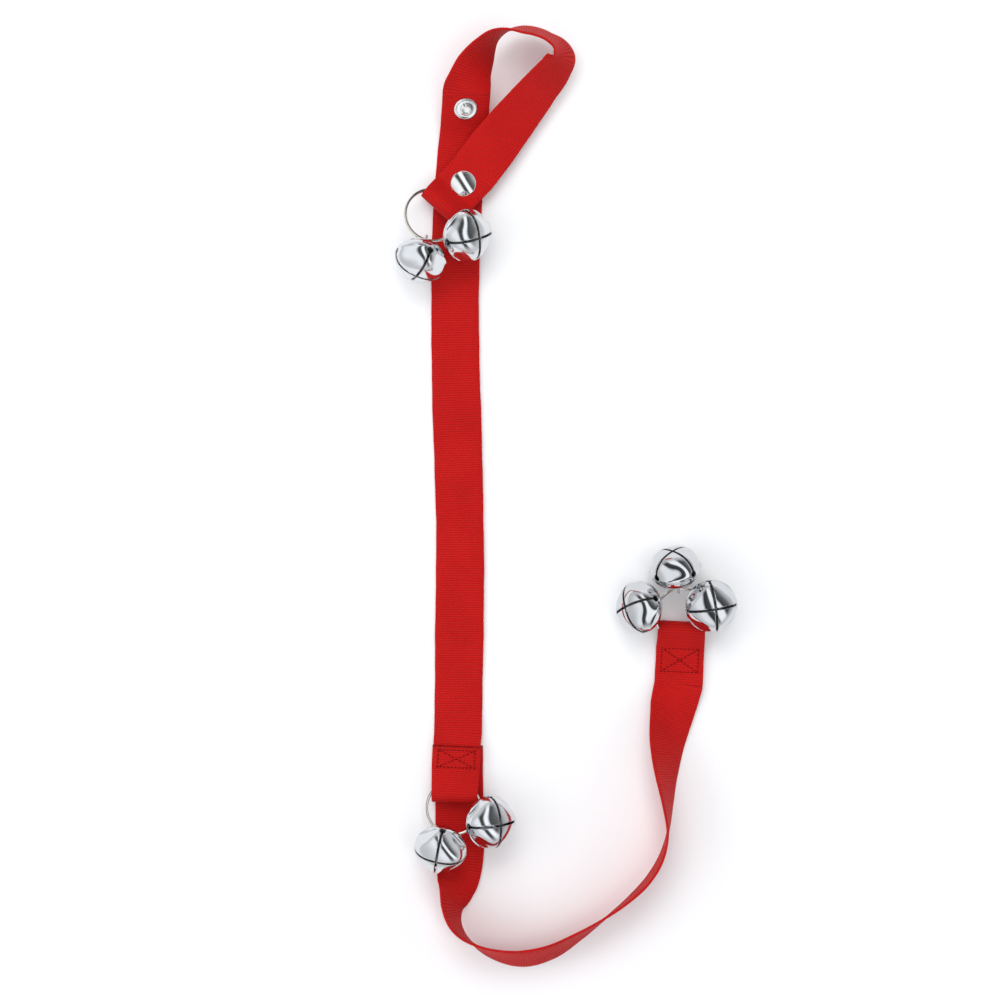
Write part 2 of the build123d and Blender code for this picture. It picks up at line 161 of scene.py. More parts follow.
# Bells' mesh and pressed shape
SHANK_HOLE = 1.45 * MM
CROWN_ROWS = 26
HOLE_ROWS = 26
PETAL_ROWS = 34
PETAL_COLUMNS = 25
WORN_EDGE = 1.2 * MM             # how far from a slit the plating is rubbed
WELD = 0.005 * MM
EDGE_ROUND = 0.12 * MM

# A split ring's wire: angles in degrees where it starts and where it steps up a turn
WIRE_END = 16.0
WIRE_STEP = 13.0


# Places and frames

def placed(origin, x_axis, y_axis, z_axis):
    """Matrix that carries local points to this place."""
    matrix = Matrix((x_axis, y_axis, z_axis)).transposed().to_4x4()
    matrix.translation = origin
    return matrix


def end_place(end):
    """Place of a folded end: x across the strap, y outwards, z up."""
    out = Vector((*end["out"], 0)).normalized()
    return placed(Vector(end["at"]) * MM, Vector((out.y, -out.x, 0)), out, Vector((0, 0, 1)))


def ring_place(ring):
    """Place of a split ring: x across its strap, y up its slope and away from the fold."""
    base = end_place(ring["end"])
    x_axis, y_axis, z_axis = (base.col[i].to_3d() for i in range(3))
    slope = math.radians(ring["slope"])
    radius = bpy.context.scene.bell_strap_rings.radius
    thickness = bpy.context.scene.bell_strap_webbing.thickness
    level = thickness + APEX_LIFT + radius * math.sin(slope)
    origin = base @ Vector((ring["across"] * MM, ring["past"] * MM, level))
    outward = y_axis * math.cos(slope) + z_axis * math.sin(slope)
    return placed(origin, x_axis, outward, x_axis.cross(outward))


def bell_place(bell):
    """Place of a bell: origin at its middle, z towards its ring, y along the ring's wire."""
    ring = ring_place(bell["ring"])
    x_axis, y_axis, z_axis = (ring.col[i].to_3d() for i in range(3))
    place, swing = math.radians(bell["place"]), math.radians(bell["swing"])
    outward = x_axis * math.cos(place) + y_axis * math.sin(place)
    hang = outward * math.cos(swing) - z_axis * math.sin(swing)
    wire = z_axis.cross(outward).normalized()
    radius = bpy.context.scene.bell_strap_rings.radius
    middle = ring.translation + outward * radius + hang * RING_TO_BELL
    return placed(middle, hang.cross(wire), wire, -hang)


def snap_place():
    """Place of the closed snap: origin on the underside of the folded tail."""
    base = end_place(TOP_END)
    base.translation = base @ Vector((0, -CAP_BACK * MM, 0))
    return base


def strap_place(route, at):
    """Place on the webbing beside a point: x across, z out of the upper face."""
    centres, across, _ = route
    index = int(np.argmin(np.linalg.norm(centres - np.array(at) * MM, axis=1)))
    ahead = Vector(centres[index + 1] - centres[index - 1]).normalized()
    side = Vector(across[index])
    side = (side - ahead * side.dot(ahead)).normalized()
    face = ahead.cross(side)
    return placed(Vector(centres[index]), side, face.cross(side), face)


# Meshes

def new_piece(name, points, faces, material, sharp=50.0, uv=None, values=None):
    """Make one piece from its points and faces, smooth but for edges sharper than the angle."""
    mesh = bpy.data.meshes.new(name)
    mesh.from_pydata([tuple(p) for p in points], [], [tuple(int(i) for i in f) for f in faces])
    if uv is not None:
        mesh.uv_layers.new(name="weave").data.foreach_set("uv", np.asarray(uv, float).ravel())
    for label, numbers in (values or {}).items():
        mesh.attributes.new(label, "FLOAT", "POINT").data.foreach_set("value", numbers)
    mesh.shade_smooth()
    mesh.set_sharp_from_angle(angle=math.radians(sharp))
    mesh.materials.append(material)
    piece = bpy.data.objects.new(name, mesh)
    bpy.context.collection.objects.link(piece)
    return piece


def grid_faces(rows, columns, wrap):
    """Quads of a grid of points, closed from the last column to the first if it wraps."""
    spans = columns if wrap else columns - 1
    row, column = np.meshgrid(np.arange(rows - 1), np.arange(spans), indexing="ij")
    row, column = row.ravel(), column.ravel()
    after = (column + 1) % columns
    return np.stack([row * columns + column, row * columns + after,
                     (row + 1) * columns + after, (row + 1) * columns + column], axis=1)


def carry(matrix, points):
    """Carry local points by a matrix."""
    array = np.array(matrix)
    return np.asarray(points, float) @ array[:3, :3].T + array[:3, 3]


def tube(name, points, radius, material, sides=12, flat=1.0, up=None):
    """Sweep a round or flattened wire along points. A fixed up keeps a flat wire level."""
    points = np.asarray(points, float)
    ahead = np.gradient(points, axis=0)
    ahead /= np.linalg.norm(ahead, axis=1)[:, None]
    if up is None:
        side = np.cross(ahead[0], (0.3, 0.5, 0.81))
        sides_at = []
        for direction in ahead:
            side = side - direction * side.dot(direction)
            side /= np.linalg.norm(side)
            sides_at.append(side)
        across = np.array(sides_at)
    else:
        across = np.cross(ahead, np.array(up))
        across /= np.linalg.norm(across, axis=1)[:, None]
    normal = np.cross(across, ahead)
    angles = np.arange(sides) * 2 * math.pi / sides
    power = 0.6 if flat != 1.0 else 1.0
    wide = np.sign(np.cos(angles)) * np.abs(np.cos(angles)) ** power * radius
    tall = np.sign(np.sin(angles)) * np.abs(np.sin(angles)) ** power * radius * flat
    body = (points[:, None, :] + across[:, None, :] * wide[None, :, None]
            + normal[:, None, :] * tall[None, :, None]).reshape(-1, 3)
    rows = len(points)
    faces = [*grid_faces(rows, sides, True), list(range(sides))[::-1],
             [(rows - 1) * sides + i for i in range(sides)]]
    piece = new_piece(name, body, faces, material)
    outward(piece)
    return piece


def outward(piece):
    """Make a closed mesh's faces point outwards."""
    work = bmesh.new()
    work.from_mesh(piece.data)
    bmesh.ops.remove_doubles(work, verts=work.verts, dist=1e-7)
    bmesh.ops.recalc_face_normals(work, faces=work.faces)
    work.to_mesh(piece.data)
    work.free()


def lathe(name, outline, matrix, material, steps=64, sharp=35.0):
    """Turn a closed outline of (radius, height) into a piece round its own z axis."""
    angles = np.arange(steps) * 2 * math.pi / steps
    outline = np.asarray(outline, float)
    points = np.stack([np.outer(np.cos(angles), outline[:, 0]),
                       np.outer(np.sin(angles), outline[:, 0]),
                       np.tile(outline[:, 1], (steps, 1))], axis=2).reshape(-1, 3)
    count = len(outline)
    turn, edge = np.meshgrid(np.arange(steps), np.arange(count), indexing="ij")
    turn, edge = turn.ravel(), edge.ravel()
    after, beside = (turn + 1) % steps, (edge + 1) % count
    faces = np.stack([turn * count + edge, after * count + edge,
                      after * count + beside, turn * count + beside], axis=1)
    piece = new_piece(name, carry(matrix, points), faces, material, sharp)
    outward(piece)
    piece.data.shade_smooth()
    piece.data.set_sharp_from_angle(angle=math.radians(sharp))
    return piece


def rounded(outline, radius, steps=4):
    """Round the corners of a closed outline."""
    outline = [Vector(p) for p in outline]
    result = []
    for before, corner, after in zip([outline[-1]] + outline, outline, outline[1:] + outline[:1]):
        back, ahead = before - corner, after - corner
        reach = min(radius, back.length * 0.45, ahead.length * 0.45)
        if corner.x < 1e-9 or reach < 1e-7:
            result.append(corner)
            continue
        start, end = corner + back.normalized() * reach, corner + ahead.normalized() * reach
        for step in range(steps + 1):
            u = step / steps
            result.append(start.lerp(corner, u).lerp(corner.lerp(end, u), u))
    return result


# Webbing

def hermite(route):
    """Points and across directions closely spaced along a smooth curve through a route."""
    route = np.array(route, float)
    route[:, :3] *= MM
    spans = np.linalg.norm(np.diff(route[:, :3], axis=0), axis=1)
    steps = np.diff(route, axis=0) / spans[:, None]
    before, after = spans[:-1, None], spans[1:, None]
    inner = (steps[:-1] * after + steps[1:] * before) / (before + after)
    rates = np.vstack([steps[:1], inner, steps[-1:]])
    filled = []
    for index, span in enumerate(spans):
        u = np.arange(0, 1, ROUTE_SAMPLE / span)[:, None]
        filled.append((2 * u ** 3 - 3 * u ** 2 + 1) * route[index]
                      + (3 * u ** 2 - 2 * u ** 3) * route[index + 1]
                      + (u ** 3 - 2 * u ** 2 + u) * span * rates[index]
                      + (u ** 3 - u ** 2) * span * rates[index + 1])
    filled = np.vstack([*filled, route[-1:]])
    centres, lean = filled[:, :3], np.radians(filled[:, 3])
    ahead = np.gradient(centres, axis=0)
    ahead /= np.linalg.norm(ahead, axis=1)[:, None]
    left = np.stack([-ahead[:, 1], ahead[:, 0], np.zeros(len(ahead))], axis=1)
    left /= np.linalg.norm(left, axis=1)[:, None]
    across = left * np.cos(lean)[:, None] + np.array([0, 0, 1.0]) * np.sin(lean)[:, None]
    across -= ahead * np.sum(across * ahead, axis=1)[:, None]
    across /= np.linalg.norm(across, axis=1)[:, None]
    return centres, across, np.ones(len(centres))


def fold_run(end):
    """The webbing's centre line through a folded end: upper layer, round the pocket, lower layer."""
    t = bpy.context.scene.bell_strap_webbing.thickness
    width = bpy.context.scene.bell_strap_webbing.width
    r, back, pocket = POCKET_RADIUS, end["back"] * MM, end["pocket"] * MM
    middle = np.array([-(r + t), r + t])
    slope = 2 * math.atan2(r, pocket - r - t)
    normal = np.array([-math.sin(slope), math.cos(slope)])
    along = np.array([math.cos(slope), math.sin(slope)])
    top = middle + (r + t / 2) * normal
    shoulder = top - (top[1] - 1.5 * t) / along[1] * along
    arc = [middle + (r + t / 2) * np.array([math.cos(a), math.sin(a)])
           for a in np.linspace(math.pi / 2 + slope, -math.pi / 2, 60)]
    corners = np.array([(-back, 1.5 * t), shoulder, *arc, (-back, t / 2)])
    reach = np.concatenate([[0], np.cumsum(np.linalg.norm(np.diff(corners, axis=0), axis=1))])
    places = np.arange(0, reach[-1], ROUTE_SAMPLE)
    line = np.stack([np.interp(places, reach, corners[:, i]) for i in range(2)], axis=1)
    for _ in range(ROUTE_SMOOTHING):
        line[1:-1] = (line[:-2] + 2 * line[1:-1] + line[2:]) / 4
    matrix = end_place(end)
    centres = carry(matrix, np.column_stack([np.zeros(len(line)), line]))
    across = np.tile(np.array(matrix.col[0].to_3d()), (len(line), 1))
    drawn = FOLD_DRAW / width * np.clip(1 + line[:, 0] / pocket, 0, 1)
    return centres, across, 1 - drawn


def join_runs(first, second):
    """Join two runs of webbing into one, with a smooth step between them."""
    gap = first[0][-1] - second[0][0]
    count = max(2, int(np.linalg.norm(gap) / ROUTE_SAMPLE))
    u = np.linspace(0, 1, count + 1)[1:-1, None]
    u = u * u * (3 - 2 * u)
    bridge = first[0][-1] * (1 - u) + second[0][0] * u
    side = first[1][-1] * (1 - u) + second[1][0] * u
    side /= np.linalg.norm(side, axis=1)[:, None]
    return (np.vstack([first[0], bridge, second[0]]), np.vstack([first[1], side, second[1]]),
            np.concatenate([first[2], np.ones(len(bridge)), second[2]]))


def stations(run):
    """Rows of mesh along a run: centre, ahead, across, normal, share of the width and place."""
    sizes = bpy.context.scene.bell_strap_webbing
    centres, across, share = run
    steps = np.linalg.norm(np.diff(centres, axis=0), axis=1)
    keep = np.concatenate([[True], steps > 1e-9])
    centres, across, share = centres[keep], across[keep], share[keep]
    reach = np.concatenate([[0], np.cumsum(np.linalg.norm(np.diff(centres, axis=0), axis=1))])
    count = round(reach[-1] / sizes.rib_pitch * sizes.rows_per_rib)
    places = np.linspace(0, reach[-1], count + 1)
    centres = np.stack([np.interp(places, reach, centres[:, i]) for i in range(3)], axis=1)
    across = np.stack([np.interp(places, reach, across[:, i]) for i in range(3)], axis=1)
    ahead = np.gradient(centres, axis=0)
    ahead /= np.linalg.norm(ahead, axis=1)[:, None]
    across -= ahead * np.sum(across * ahead, axis=1)[:, None]
    across /= np.linalg.norm(across, axis=1)[:, None]
    return {"centre": centres, "ahead": ahead, "across": across,
            "normal": np.cross(ahead, across), "share": np.interp(places, reach, share),
            "place": places}


def parted(rows, at):
    """Part the rows at a place, so that both lengths share one row."""
    index = int(np.argmin(np.linalg.norm(rows["centre"] - np.array(at) * MM, axis=1)))
    return ({key: value[:index + 1] for key, value in rows.items()},
            {key: value[index:] for key, value in rows.items()})


def webbing_section(sizes):
    """Outline of the webbing: share across, inset of the lip and share of the thickness."""
    flat, level = np.linspace(-1, 1, LIP_STEPS), np.ones(LIP_STEPS)
    edge, lip = np.array([0.8, 0.42, 0, -0.42, -0.8]), np.array([0.3, 0.06, 0, 0.06, 0.3])
    side = np.ones(len(edge))
    return (np.concatenate([flat, side, flat[::-1], -side]),
            np.concatenate([level, lip, level, lip]) * sizes.lip,
            np.concatenate([level, edge, -level, edge[::-1]]))


def webbing(name, rows, material, cut_first=False, cut_last=False):
    """Build one length of ribbed webbing from its rows."""
    sizes = bpy.context.scene.bell_strap_webbing
    places = rows["place"]
    rib = np.abs(np.cos(math.pi * places / sizes.rib_pitch)) ** RIB_BLUNTNESS
    wander = sum(share * np.sin(places * wave + phase) for wave, share, phase in WANDER_WAVES)
    half = (sizes.width / 2 * rows["share"] - sizes.rib_height * (1 - rib)
            + sizes.edge_wave * wander)
    tall = sizes.thickness / 2 - sizes.rib_height * (1 - rib)
    melt = np.zeros(len(places))
    for cut, distance in ((cut_first, places - places[0]), (cut_last, places[-1] - places)):
        if cut:
            near = np.clip(1 - distance / sizes.melted_length, 0, 1)
            bead = 1 + BEAD_RISE * np.sin(near * math.pi) - BEAD_TAPER * near ** 6
            melt = np.maximum(melt, near)
            tall = np.where(near > 0, sizes.thickness / 2 * bead, tall)
            half = half + BEAD_SPREAD * np.sin(near * math.pi)
    x_share, inset, z_share = webbing_section(sizes)
    wide = x_share[None, :] * (half[:, None] - inset[None, :])
    high = z_share[None, :] * tall[:, None]
    points = (rows["centre"][:, None, :] + rows["across"][:, None, :] * wide[:, :, None]
              + rows["normal"][:, None, :] * high[:, :, None])
    for cut, row in ((cut_first, 0), (cut_last, -1)):
        if cut:
            waves = np.sin(wide[row] * 900) + 0.6 * np.sin(wide[row] * 2300 + 2)
            ragged = CUT_RAGGEDNESS * waves
            points[row] += rows["ahead"][row] * ragged[:, None]
    lines, count = wide.shape
    girth = np.concatenate([[0], np.cumsum(np.hypot(np.diff(wide[1]), np.diff(high[1])))])
    girth = np.append(girth, girth[-1] + 0.3 * MM) / MM
    along = places / MM
    row, column = (a.ravel() for a in np.meshgrid(np.arange(lines - 1), np.arange(count),
                                                  indexing="ij"))
    uv = np.stack([np.stack([girth[column + right], along[row + above]], 1)
                   for right, above in ((0, 0), (1, 0), (1, 1), (0, 1))], axis=1).reshape(-1, 2)
    caps = [list(range(count))[::-1], [(lines - 1) * count + i for i in range(count)]]
    cap_uv = [(girth[i % count], along[0 if i < count else -1]) for cap in caps for i in cap]
    faces = [*grid_faces(lines, count, True), *caps]
    piece = new_piece(name, points.reshape(-1, 3), faces, material, sharp=62.0,
                      uv=np.vstack([uv, cap_uv]), values={"melt": np.repeat(melt, count)})
    outward(piece)
    return piece


# Materials

def new_material(name):
    """A node material with its Principled BSDF."""
    material = bpy.data.materials.new(name)
    material.use_nodes = True
    tree = material.node_tree
    return material, tree, tree.nodes["Principled BSDF"]


def node(tree, kind, inputs=(), **settings):
    """Add a node with its settings and inputs, where an input is a value or a socket."""
    made = tree.nodes.new(kind)
    for label, value in settings.items():
        setattr(made, label, value)
    for key, value in dict(inputs).items():
        if isinstance(value, bpy.types.NodeSocket):
            tree.links.new(value, made.inputs[key])
        else:
            made.inputs[key].default_value = value
    return made


def maths(tree, operation, first, second=0.0):
    """Output of one Math node."""
    return node(tree, "ShaderNodeMath", {0: first, 1: second}, operation=operation).outputs[0]


def mixed(tree, factor, first, second):
    """Output of a colour mix."""
    made = node(tree, "ShaderNodeMix", data_type="RGBA")
    for socket, value in ((made.inputs[0], factor), (made.inputs[6], first),
                          (made.inputs[7], second)):
        if isinstance(value, bpy.types.NodeSocket):
            tree.links.new(value, socket)
        else:
            socket.default_value = value
    return made.outputs[2]


def ramp(tree, factor, low, high, to_low=0.0, to_high=1.0):
    """Output of a Map Range node."""
    return node(tree, "ShaderNodeMapRange", {0: factor, 1: low, 2: high, 3: to_low, 4: to_high}
                ).outputs[0]


def attribute(tree, name):
    """A number stored on the piece's points."""
    return node(tree, "ShaderNodeAttribute", attribute_name=name).outputs["Fac"]


def noise(tree, scale, detail=3.0, rough=0.5):
    """Noise that stays with the piece."""
    place = node(tree, "ShaderNodeTexCoord").outputs["Object"]
    return node(tree, "ShaderNodeTexNoise", {"Vector": place, "Scale": scale, "Detail": detail,
                                             "Roughness": rough}).outputs["Fac"]


def webbing_material(sizes):
    """Red nylon webbing: ribs of short warp floats, painted shade in the grooves, random darker
    mottling, fuzz and a melted cut edge.
    """
    material, tree, shader = new_material("red_webbing")
    uv = node(tree, "ShaderNodeUVMap", uv_map="weave").outputs[0]
    split = node(tree, "ShaderNodeSeparateXYZ", {0: uv})
    row = maths(tree, "DIVIDE", split.outputs[1], sizes.rib_pitch / MM)
    shift = maths(tree, "MULTIPLY", maths(tree, "FLOORED_MODULO",
                                          maths(tree, "ROUND", row), 2.0), 0.5)
    column = maths(tree, "ADD", maths(tree, "DIVIDE", split.outputs[0],
                                      sizes.warp_pitch / MM), shift)
    floats = maths(tree, "POWER", maths(tree, "ABSOLUTE", maths(
        tree, "SINE", maths(tree, "MULTIPLY", column, math.pi))), 0.6)
    ribs = maths(tree, "POWER", maths(tree, "ABSOLUTE", maths(
        tree, "COSINE", maths(tree, "MULTIPLY", row, math.pi))), 0.6)
    fibre = node(tree, "ShaderNodeTexNoise", {
        "Vector": node(tree, "ShaderNodeMapping", {"Vector": uv, "Scale": (9.0, 1.2, 1.0)}
                       ).outputs[0], "Scale": 1.0, "Detail": 3.0}).outputs["Fac"]
    height = maths(tree, "ADD", maths(tree, "MULTIPLY", maths(tree, "MULTIPLY", floats, ribs), 0.8),
                   maths(tree, "MULTIPLY", fibre, 0.25))
    melt = attribute(tree, "melt")
    patch = noise(tree, 45.0)
    # Painted shade: the webbing darkens towards the groove colour between floats and ribs, where
    # shade falls. The same colour then gives the random darker mottling.
    colour = mixed(tree, ramp(tree, height, 0.1, 0.85), (*sizes.groove_shade_and_mottle_colour, 1),
                   (*sizes.colour, 1))
    colour = mixed(tree, ramp(tree, patch, 0.35, 0.75, 0.0, 0.3), colour,
                   (*sizes.groove_shade_and_mottle_colour, 1))
    colour = mixed(tree, maths(tree, "MULTIPLY", melt, 0.75), colour, (*sizes.melted_colour, 1))
    tree.links.new(colour, shader.inputs["Base Color"])
    rough = maths(tree, "SUBTRACT", ramp(tree, height, 0.0, 1.0, 0.78, 0.52),
                  maths(tree, "MULTIPLY", melt, 0.28))
    tree.links.new(rough, shader.inputs["Roughness"])
    shader.inputs["Specular IOR Level"].default_value = 0.12
    shader.inputs["Sheen Weight"].default_value = 0.03
    shader.inputs["Sheen Roughness"].default_value = 0.4
    shader.inputs["Sheen Tint"].default_value = (1.0, 0.12, 0.1, 1)
    bump = node(tree, "ShaderNodeBump", {"Height": height, "Strength": 0.75,
                                         "Distance": sizes.rib_height})
    tree.links.new(bump.outputs[0], shader.inputs["Normal"])
    return material


def thread_material(sizes):
    """Twisted red thread."""
    material, tree, shader = new_material("red_thread")
    place = node(tree, "ShaderNodeTexCoord").outputs["Object"]
    twist = node(tree, "ShaderNodeTexWave", {"Vector": place, "Scale": 900.0, "Distortion": 1.5},
                 bands_direction="DIAGONAL").outputs["Fac"]
    colour = mixed(tree, twist, (*sizes.shade_colour, 1), (*sizes.colour, 1))
    tree.links.new(colour, shader.inputs["Base Color"])
    tree.links.new(ramp(tree, twist, 0.0, 1.0, 0.7, 0.5), shader.inputs["Roughness"])
    shader.inputs["Specular IOR Level"].default_value = 0.12
    bump = node(tree, "ShaderNodeBump", {"Height": twist, "Strength": 0.6, "Distance": 0.00008})
    tree.links.new(bump.outputs[0], shader.inputs["Normal"])
    return material


def plated_material(name, bright, worn, low=0.08, high=0.2, waviness=0.000004, scale=60.0):
    """Polished plating with faint handling marks, worn where the piece says so."""
    material, tree, shader = new_material(name)
    marks, scuffs = noise(tree, scale, 4.0, 0.6), noise(tree, scale * 14, 2.0)
    wear = maths(tree, "MULTIPLY", attribute(tree, "wear"), ramp(tree, scuffs, 0.3, 0.7))
    colour = mixed(tree, maths(tree, "MULTIPLY", marks, 0.22), (*bright, 1), (*worn, 1))
    colour = mixed(tree, maths(tree, "MULTIPLY", wear, 0.6), colour, (*worn, 1))
    tree.links.new(colour, shader.inputs["Base Color"])
    rough = maths(tree, "ADD", ramp(tree, marks, 0.35, 0.75, low, high),
                  maths(tree, "MULTIPLY", wear, 0.25))
    tree.links.new(rough, shader.inputs["Roughness"])
    shader.inputs["Metallic"].default_value = 1.0
    bump = node(tree, "ShaderNodeBump", {"Height": noise(tree, scale * 0.8, 1.0),
                                         "Strength": 1.0, "Distance": waviness})
    tree.links.new(bump.outputs[0], shader.inputs["Normal"])
    return material


def floor_material(colour):
    """Matt white board."""
    material, tree, shader = new_material("white_board")
    tint = mixed(tree, maths(tree, "MULTIPLY", noise(tree, 6.0), 0.05), (*colour, 1),
                 (0.85, 0.85, 0.86, 1))
    tree.links.new(tint, shader.inputs["Base Color"])
    shader.inputs["Roughness"].default_value = 0.9
    shader.inputs["Specular IOR Level"].default_value = 0.1
    return material


# Settings

def size(label, text, default, low=0.0, high=1.0):
    """A length setting."""
    return FloatProperty(name=label, description=text, default=default, min=low, max=high,
                         subtype="DISTANCE", unit="LENGTH", precision=5)


def colour_of(label, text, default):
    """A colour setting."""
    return FloatVectorProperty(name=label, description=text, default=default, min=0, max=1,
                               size=3, subtype="COLOR")


class BellStrapWebbing(bpy.types.PropertyGroup):
    """Sizes and colours of the webbing."""

    width: size("Width", "Width of the webbing", 25 * MM)
    thickness: size("Thickness", "Thickness of one layer", 1.3 * MM)
    rib_pitch: size("Rib pitch", "Distance from one cross rib to the next", 1.25 * MM)
    rib_height: size("Rib height", "Depth of the grooves between ribs", 0.1 * MM)
    warp_pitch: size("Warp pitch", "Distance from one lengthwise float to the next", 1.0 * MM)
    lip: size("Lip", "Width of the rounded edge", 0.55 * MM)
    edge_wave: size("Edge wave", "How far the edges wander", 0.12 * MM)
    melted_length: size("Melted length", "Length of the heat-sealed cut edge", 1.3 * MM)
    rows_per_rib: IntProperty(name="Rows per rib", description="Mesh rows in each rib",
                              default=4, min=2, max=8)
    colour: colour_of("Colour", "Colour of the ribs", (0.62, 0.012, 0.010))
    # Painted shade colour between the ribs, also used as the tone of the random darker mottling
    groove_shade_and_mottle_colour: colour_of("Groove colour", "Colour between the ribs", (0.30, 0.004, 0.004))
    melted_colour: colour_of("Melted colour", "Colour of the sealed edge", (0.16, 0.003, 0.003))


class BellStrapStitching(bpy.types.PropertyGroup):
    """Sizes and colours of the box stitching."""

    box_width: size("Box width", "Width of the stitched box", 19 * MM)
    stitch: size("Stitch length", "Distance from one stitch to the next", 2.0 * MM)
    thread: size("Thread radius", "Half the thread's thickness", 0.38 * MM)
    colour: colour_of("Colour", "Colour of the thread", (0.36, 0.006, 0.005))
    shade_colour: colour_of("Shade colour", "Colour between the twists", (0.12, 0.002, 0.002))


class BellStrapRings(bpy.types.PropertyGroup):
    """Sizes and colours of the split rings."""

    radius: size("Radius", "Middle radius of a ring", 13.8 * MM)
    wire_width: size("Wire width", "Width of the flat wire", 1.4 * MM)
    wire_height: size("Wire height", "Thickness of the flat wire", 0.9 * MM)
    gap: size("Turn gap", "Gap between the two turns", 0.05 * MM)
    colour: colour_of("Colour", "Colour of the plating", (0.80, 0.77, 0.70))
    worn_colour: colour_of("Worn colour", "Colour of rubbed plating", (0.45, 0.38, 0.28))


class BellStrapBells(bpy.types.PropertyGroup):
    """Sizes and colours of the bells."""

    radius: size("Radius", "Half a bell's widest size", 13.5 * MM)
    crown: size("Crown height", "Height above the widest line", 9.5 * MM)
    petals: size("Petal depth", "Depth below the widest line", 10.5 * MM)
    wall: size("Wall", "Thickness of the pressed shell", 0.6 * MM)
    slit: size("Slit width", "Gap between petals", 1.3 * MM)
    hole: size("Slit hole radius", "Radius of the hole that ends each slit", 1.7 * MM)
    squareness: FloatProperty(name="Squareness", description="How boxy the petals' outline is",
                              default=2.4, min=2, max=4)
    flatness: FloatProperty(name="Petal flatness", description="How far a petal's face is pressed in",
                            default=0.11, min=0, max=0.3, subtype="FACTOR")
    wire: size("Shank wire radius", "Half the shank wire's thickness", 0.65 * MM)
    colour: colour_of("Colour", "Colour of the satin plating", (0.74, 0.75, 0.77))
    mirror_colour: colour_of("Mirror colour", "Colour of the end bells' plating",
                             (0.66, 0.67, 0.69))
    worn_colour: colour_of("Worn colour", "Colour of rubbed plating", (0.45, 0.44, 0.43))
    pellet_colour: colour_of("Pellet colour", "Colour of the steel pellets", (0.45, 0.45, 0.46))
    pellet_worn_colour: colour_of("Pellet worn colour", "Colour of rubbed steel",
                                  (0.2, 0.19, 0.18))


class BellStrapSnap(bpy.types.PropertyGroup):
    """Sizes and colours of the snap fastener."""

    cap_radius: size("Cap radius", "Radius of the domed cap", 6.5 * MM)
    cap_rise: size("Cap rise", "Height of the dome", 2.0 * MM)
    stud_radius: size("Stud flange radius", "Radius of the stud's flange", 6.0 * MM)
    head_radius: size("Stud head radius", "Radius of the stud's head", 3.1 * MM)
    head_height: size("Stud head height", "Height of the head over the flange", 1.9 * MM)
    colour: colour_of("Colour", "Colour of the plating", (0.86, 0.86, 0.85))
    worn_colour: colour_of("Worn colour", "Colour of rubbed plating", (0.5, 0.48, 0.44))


class BellStrapStage(bpy.types.PropertyGroup):
    """Floor, light and camera."""

    camera_height: size("Camera height", "Height of the camera over the floor", 1.3, 0.1, 10)
    camera_x: size("Camera x", "Camera place along x", -0.03406, -1, 1)
    camera_y: size("Camera y", "Camera place along y", -0.00182, -1, 1)
    lens: FloatProperty(name="Lens", description="Focal length", default=90, min=10, max=300,
                        unit="CAMERA")
    light: FloatProperty(name="Light", description="Power of the main light", default=12.5, min=0,
                         unit="POWER")
    floor_colour: colour_of("Floor colour", "Colour of the board", (0.93, 0.93, 0.935))
    world: FloatProperty(name="Room brightness", description="Brightness of the room", default=0.9,
                         min=0, max=5)


# Operators

def shared_material(name, maker, *arguments):
    """The material of this name, made when it is first needed."""
    return bpy.data.materials.get(name) or maker(*arguments)


def red_webbing():
    """The strap's own material."""
    return shared_material("red_webbing", webbing_material, bpy.context.scene.bell_strap_webbing)


def snap_plating():
    """The snap's plating."""
    sizes = bpy.context.scene.bell_strap_snap
    return shared_material("snap_nickel", plated_material, "snap_nickel", sizes.colour,
                           sizes.worn_colour)


def finish_node(name, material):
    """Give a frame node that stays its finish."""
    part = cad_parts[name]
    part.data.materials.clear()
    part.data.materials.append(material)


class BELLSTRAP_OT_webbing(bpy.types.Operator):
    """Build the four lengths of webbing."""

    bl_idname = "bell_strap.webbing"
    bl_label = "Webbing"

    def execute(self, context):
        sizes, red = context.scene.bell_strap_webbing, red_webbing()
        loop = join_runs(join_runs(fold_run(MIDDLE_END), hermite(UPPER_ROUTE)), fold_run(TOP_END))
        upper_rows, tail_rows = parted(stations(loop), TAIL_START)
        hook = join_runs(hermite(LOWER_ROUTE), fold_run(END_END))
        lower_rows, leg_rows = parted(stations(hook), LEG_START)
        upper = webbing("upper_webbing", upper_rows, red, cut_first=True)
        tail = webbing("tail_webbing", tail_rows, red, cut_last=True)
        lower = webbing("lower_webbing", lower_rows, red, cut_first=True)
        leg = webbing("leg_webbing", leg_rows, red, cut_last=True)
        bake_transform(upper)
        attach(tail, "loop_tail")
        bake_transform(lower)
        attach(leg, "strap_leg")
        for piece, rows, part in ((upper, upper_rows, "upper_strap"),
                                  (tail, tail_rows, "loop_tail_strap"),
                                  (lower, lower_rows, "lower_strap"),
                                  (leg, leg_rows, "lower_strap_leg")):
            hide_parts(part)
        return {"FINISHED"}


